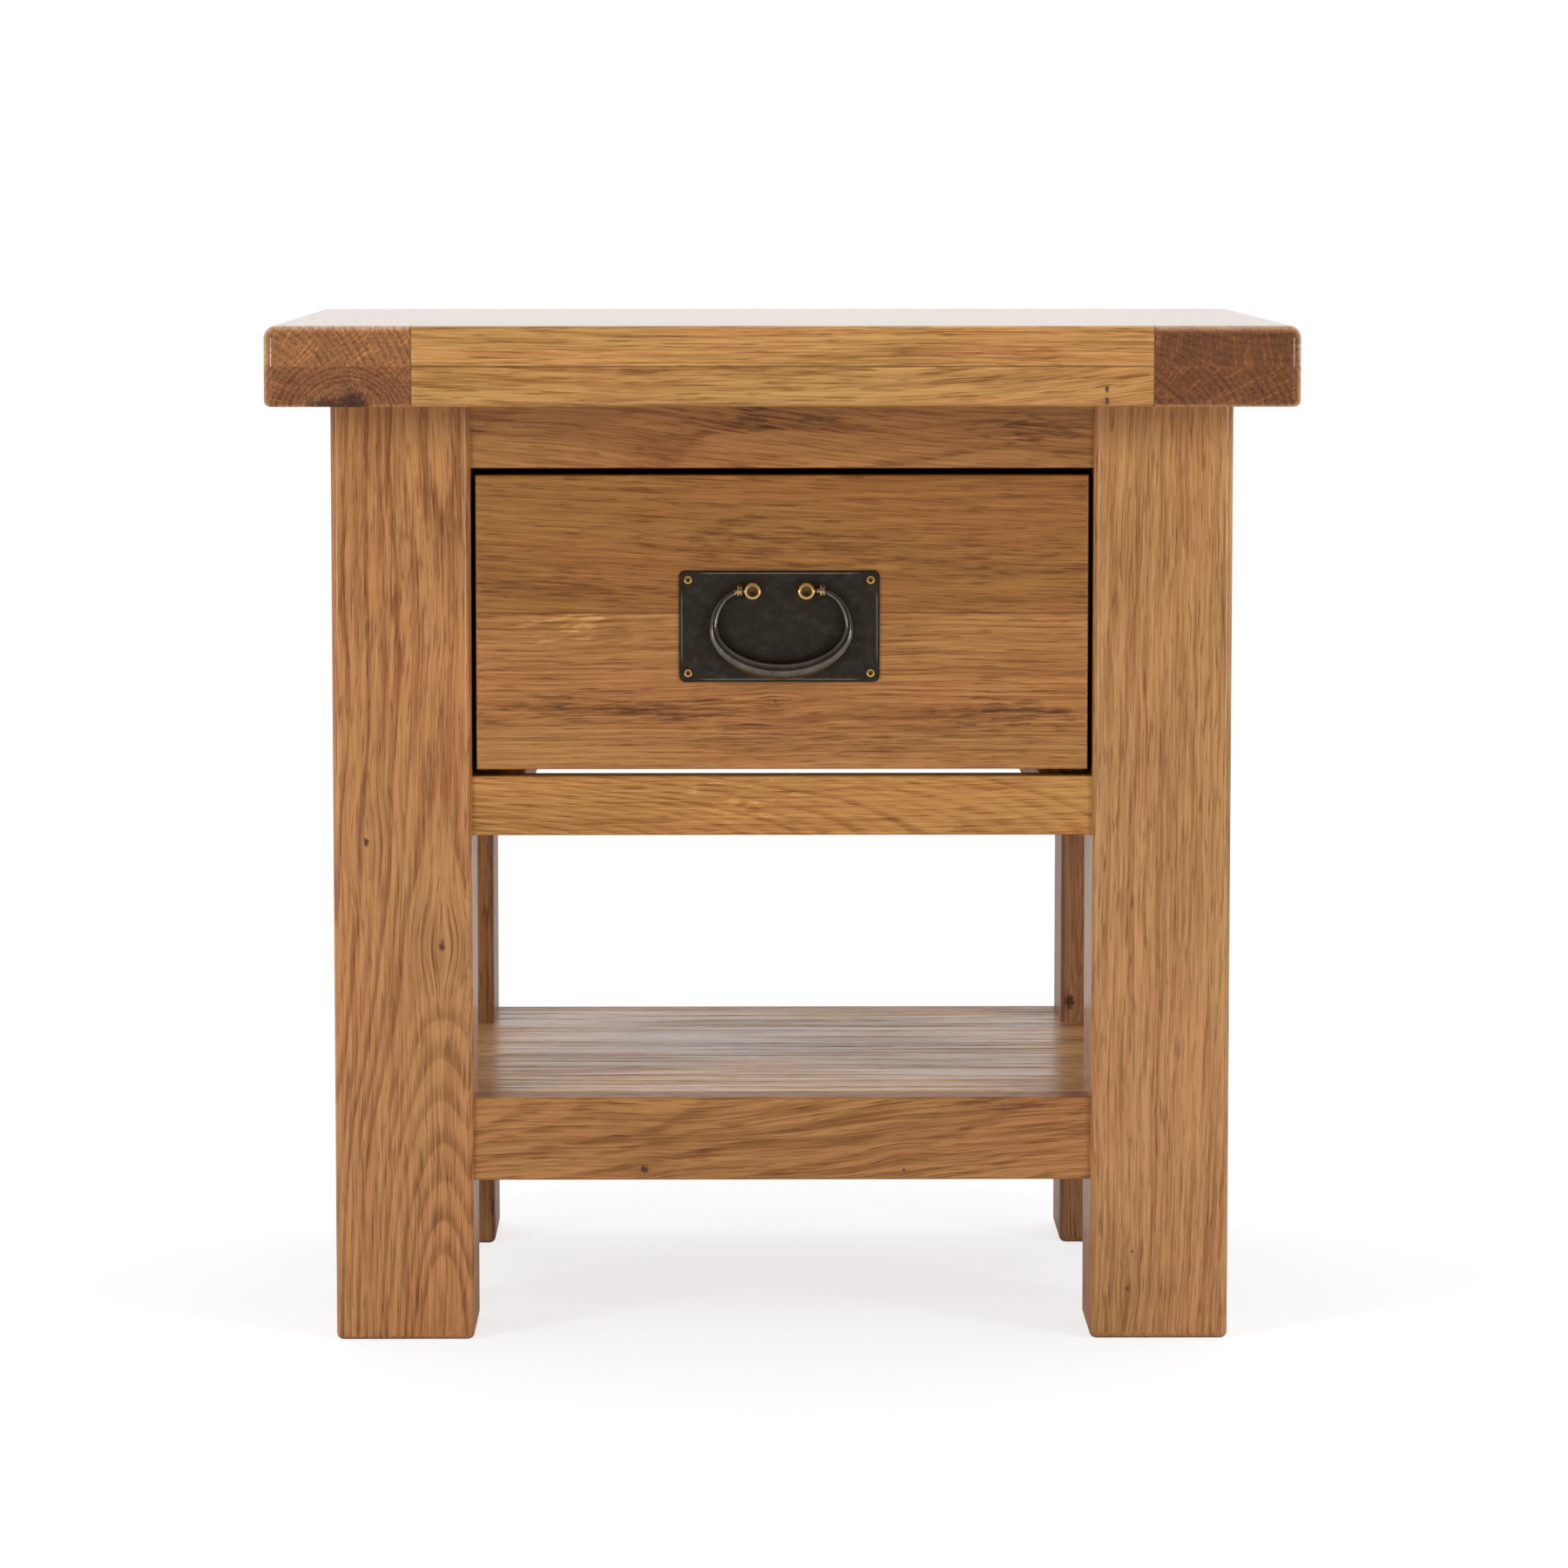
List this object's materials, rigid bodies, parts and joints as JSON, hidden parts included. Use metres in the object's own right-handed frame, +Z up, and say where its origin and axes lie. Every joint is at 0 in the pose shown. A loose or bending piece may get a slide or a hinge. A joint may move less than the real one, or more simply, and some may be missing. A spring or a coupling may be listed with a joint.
{
  "type": "side table with drawer",
  "caption": "Square-legged oak side table with a thick overhanging top, an inset drawer on wooden runners with a bail handle on a plate, and a low shelf.",
  "frame": {"origin": "on the floor, under the centre of the top", "axes": "+Z up, the drawer opens towards -Y, +X to the right of someone facing the drawer"},
  "size_m": [0.5, 0.4, 0.5],
  "materials": {
    "oak_top": "satin lacquered solid oak, end grain on the end boards",
    "oak_legs": "satin lacquered solid oak",
    "oak_rails": "satin lacquered solid oak",
    "oak_drawer_front": "satin lacquered solid oak",
    "oak_shelf": "satin lacquered solid oak",
    "plain_oak": "bare sanded oak",
    "oak_plywood": "oak-faced plywood",
    "black_iron": "blackened iron plate, satin",
    "burnished_steel": "dark burnished steel, worn bright on its edges",
    "antique_brass": "antiqued brass, polished rims",
    "zinc_steel": "zinc plated steel fasteners"
  },
  "bodies": {
    "table": {"drawer_guide_left": "plain_oak", "drawer_guide_right": "plain_oak", "drawer_kicker_left": "plain_oak", "drawer_kicker_right": "plain_oak", "drawer_low_rail": "oak_rails", "drawer_runner_left": "plain_oak", "drawer_runner_right": "plain_oak", "drawer_stop_left": "plain_oak", "drawer_stop_right": "plain_oak", "drawer_top_rail": "oak_rails", "leg_front_left": "oak_legs", "leg_front_right": "oak_legs", "leg_rear_left": "oak_legs", "leg_rear_right": "oak_legs", "rear_panel": "oak_rails", "shelf_board_1": "oak_shelf", "shelf_board_2": "oak_shelf", "shelf_board_3": "oak_shelf", "shelf_board_4": "oak_shelf", "shelf_cleat_front": "plain_oak", "shelf_cleat_left": "plain_oak", "shelf_cleat_rear": "plain_oak", "shelf_cleat_right": "plain_oak", "shelf_rail_front": "oak_rails", "shelf_rail_left": "oak_rails", "shelf_rail_rear": "oak_rails", "shelf_rail_right": "oak_rails", "shelf_screws": "zinc_steel", "side_panel_left": "oak_rails", "side_panel_right": "oak_rails", "top_end_board_left": "oak_top", "top_end_board_right": "oak_top", "top_fixing_screws": "zinc_steel", "top_stave_1": "oak_top", "top_stave_2": "oak_top", "top_stave_3": "oak_top", "top_stave_4": "oak_top", "top_stave_5": "oak_top", "top_under_strip_front": "oak_top", "top_under_strip_left": "oak_top", "top_under_strip_rear": "oak_top", "top_under_strip_right": "oak_top"},
    "drawer": {"drawer_back": "plain_oak", "drawer_base": "oak_plywood", "drawer_base_screws": "zinc_steel", "drawer_front_high": "oak_drawer_front", "drawer_front_low": "oak_drawer_front", "drawer_side_left": "plain_oak", "drawer_side_right": "plain_oak", "handle_plate": "black_iron", "handle_plate_screws": "antique_brass", "handle_post_left": "antique_brass", "handle_post_nuts": "zinc_steel", "handle_post_right": "antique_brass", "handle_post_washers": "zinc_steel"},
    "bail": {"handle_bail": "burnished_steel"}
  },
  "joints": [
    {"name": "drawer_slide", "type": "slide", "parent": "table", "child": "drawer", "axis": [0, -1, 0], "range_m": [0, 0.225]},
    {"name": "bail_swing", "type": "hinge", "parent": "drawer", "child": "bail", "pos_m": [-0.0005, -0.1723, 0.3705], "axis": [-1, 0, 0], "range_deg": [0, 172]}
  ]
}
